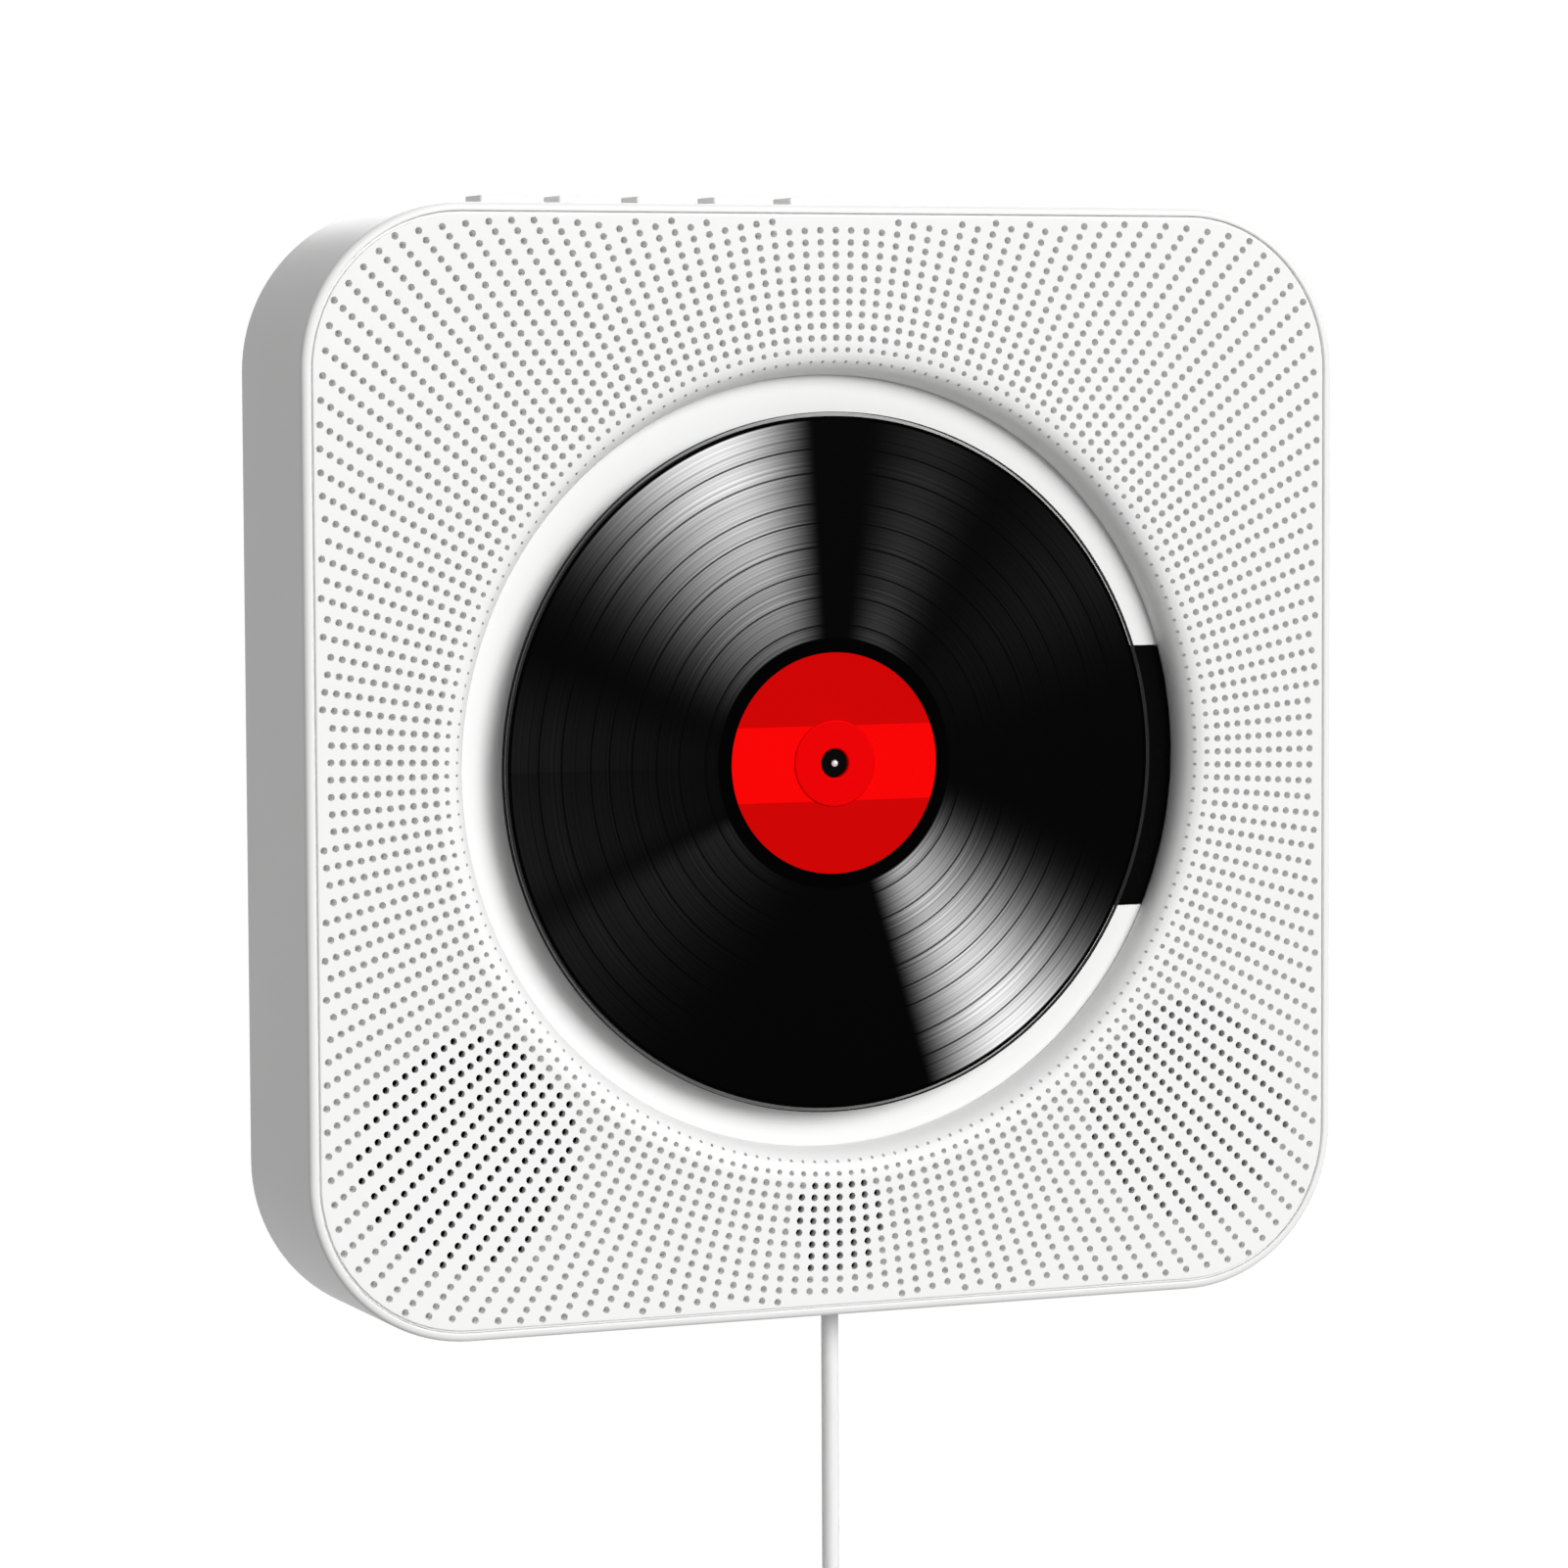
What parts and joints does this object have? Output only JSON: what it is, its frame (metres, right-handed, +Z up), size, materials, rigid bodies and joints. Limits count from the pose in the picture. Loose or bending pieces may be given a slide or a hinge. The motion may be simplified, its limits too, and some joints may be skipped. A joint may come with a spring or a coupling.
{
  "type": "wall-mounted cd player",
  "caption": "Square wall-hung player with round corners: a bare compact disc spins in a round well, sound comes through a perforated front, and a pull cord switches it on.",
  "frame": {"origin": "on the wall, at the back face of the wall bracket, straight behind the centre of the disc", "axes": "+Z up, +Y into the wall, +X to the right as seen from the front"},
  "size_m": [0.19, 0.035, 0.3222],
  "materials": {
    "white_shell": "satin moulded",
    "white_panel": "fine matt",
    "white_cord": "smooth cord",
    "black_plastic": "satin moulded",
    "black_disc": "gloss with fine grooves",
    "red_cap": "satin",
    "steel": "turned",
    "zinc_plate": "zinc plated sheet",
    "black_rubber": "matt",
    "black_cloth": "woven",
    "paper_cone": "pressed pulp",
    "ferrite": "sintered",
    "circuit_board": "solder mask",
    "white_gear": "moulded",
    "lens_glass": "polished"
  },
  "bodies": {
    "bracket": {"wall_bracket": "zinc_plate"},
    "player": {"body_shell": "white_shell", "front_grille": "white_panel", "disc_tray": "white_panel", "rear_cover": "white_shell", "cover_screw_1": "steel", "cover_screw_2": "steel", "cover_screw_3": "steel", "cover_screw_4": "steel", "wall_pad_left": "black_rubber", "wall_pad_right": "black_rubber", "ir_receiver": "black_plastic", "main_board": "circuit_board", "button_board": "circuit_board", "power_socket": "black_plastic", "audio_socket": "black_plastic", "drive_chassis": "black_plastic", "drive_damper_1": "black_rubber", "drive_damper_2": "black_rubber", "drive_damper_3": "black_rubber", "drive_screw_1": "steel", "drive_screw_2": "steel", "drive_screw_3": "steel", "spindle_motor": "zinc_plate", "sled_motor": "zinc_plate", "guide_rod_upper": "steel", "guide_rod_lower": "steel", "speaker_screen_left": "black_cloth", "speaker_frame_left": "black_plastic", "speaker_magnet_left": "ferrite", "speaker_surround_left": "black_rubber", "speaker_screen_right": "black_cloth", "speaker_frame_right": "black_plastic", "speaker_magnet_right": "ferrite", "speaker_surround_right": "black_rubber", "pull_switch": "black_plastic", "cord_bushing": "white_shell", "return_spring": "steel"},
    "spindle": {"turntable": "black_plastic", "hub_cap": "red_cap", "spindle_shaft": "steel"},
    "loose_disc": {"disc": "black_disc"},
    "sled": {"pickup_sled": "black_plastic"},
    "lens": {"pickup_lens": "lens_glass"},
    "gear": {"feed_gear": "white_gear"},
    "pinion": {"feed_pinion": "white_gear"},
    "previous_key": {"button_previous": "white_shell"},
    "play_key": {"button_play": "white_shell"},
    "next_key": {"button_next": "white_shell"},
    "volume_down_key": {"button_volume_down": "white_shell"},
    "volume_up_key": {"button_volume_up": "white_shell"},
    "left_cone": {"speaker_cone_left": "paper_cone"},
    "right_cone": {"speaker_cone_right": "paper_cone"},
    "pull": {"switch_plunger": "white_cord", "pull_cord": "white_cord", "pull_knob": "white_shell"}
  },
  "joints": [
    {"name": "player_lift", "type": "slide", "parent": "bracket", "child": "player", "axis": [0, 0, 1], "range_m": [0, 0.01]},
    {"name": "spindle_spin", "type": "hinge", "parent": "player", "child": "spindle", "pos_m": [0, -0.03, 0], "axis": [0, 1, 0], "continuous": true},
    {"name": "disc_pull", "type": "slide", "parent": "spindle", "child": "loose_disc", "axis": [0, -1, 0], "range_m": [0, 0.025]},
    {"name": "sled_slide", "type": "slide", "parent": "player", "child": "sled", "axis": [1, 0, 0], "range_m": [0, 0.0323]},
    {"name": "lens_focus", "type": "slide", "parent": "sled", "child": "lens", "axis": [0, 1, 0], "range_m": [-0.0004, 0.0004], "stiffness_N_per_m": 50},
    {"name": "gear_spin", "type": "hinge", "parent": "player", "child": "gear", "pos_m": [0.026, -0.015, -0.02528], "axis": [0, 1, 0], "range_deg": [0, 330.48]},
    {"name": "pinion_spin", "type": "hinge", "parent": "player", "child": "pinion", "pos_m": [0.01096, -0.014, -0.03075], "axis": [0, 1, 0], "range_deg": [-771.12, 0]},
    {"name": "previous_press", "type": "slide", "parent": "player", "child": "previous_key", "axis": [0, 0, -1], "range_m": [0, 0.0008], "stiffness_N_per_m": 300, "springref_m": -0.0005},
    {"name": "play_press", "type": "slide", "parent": "player", "child": "play_key", "axis": [0, 0, -1], "range_m": [0, 0.0008], "stiffness_N_per_m": 300, "springref_m": -0.0005},
    {"name": "next_press", "type": "slide", "parent": "player", "child": "next_key", "axis": [0, 0, -1], "range_m": [0, 0.0008], "stiffness_N_per_m": 300, "springref_m": -0.0005},
    {"name": "volume_down_press", "type": "slide", "parent": "player", "child": "volume_down_key", "axis": [0, 0, -1], "range_m": [0, 0.0008], "stiffness_N_per_m": 300, "springref_m": -0.0005},
    {"name": "volume_up_press", "type": "slide", "parent": "player", "child": "volume_up_key", "axis": [0, 0, -1], "range_m": [0, 0.0008], "stiffness_N_per_m": 300, "springref_m": -0.0005},
    {"name": "cone_left_move", "type": "slide", "parent": "player", "child": "left_cone", "axis": [0, 1, 0], "range_m": [-0.001, 0.001], "stiffness_N_per_m": 500},
    {"name": "cone_right_move", "type": "slide", "parent": "player", "child": "right_cone", "axis": [0, 1, 0], "range_m": [-0.001, 0.001], "stiffness_N_per_m": 500},
    {"name": "cord_pull", "type": "slide", "parent": "player", "child": "pull", "axis": [0, 0, -1], "range_m": [0, 0.005], "stiffness_N_per_m": 150, "springref_m": -0.003, "deforming": ["return_spring"]}
  ],
  "couplings": [
    {"joint": "gear_spin", "follows": "sled_slide", "rad_per_m": 178.57},
    {"joint": "pinion_spin", "follows": "sled_slide", "rad_per_m": -416.67}
  ]
}
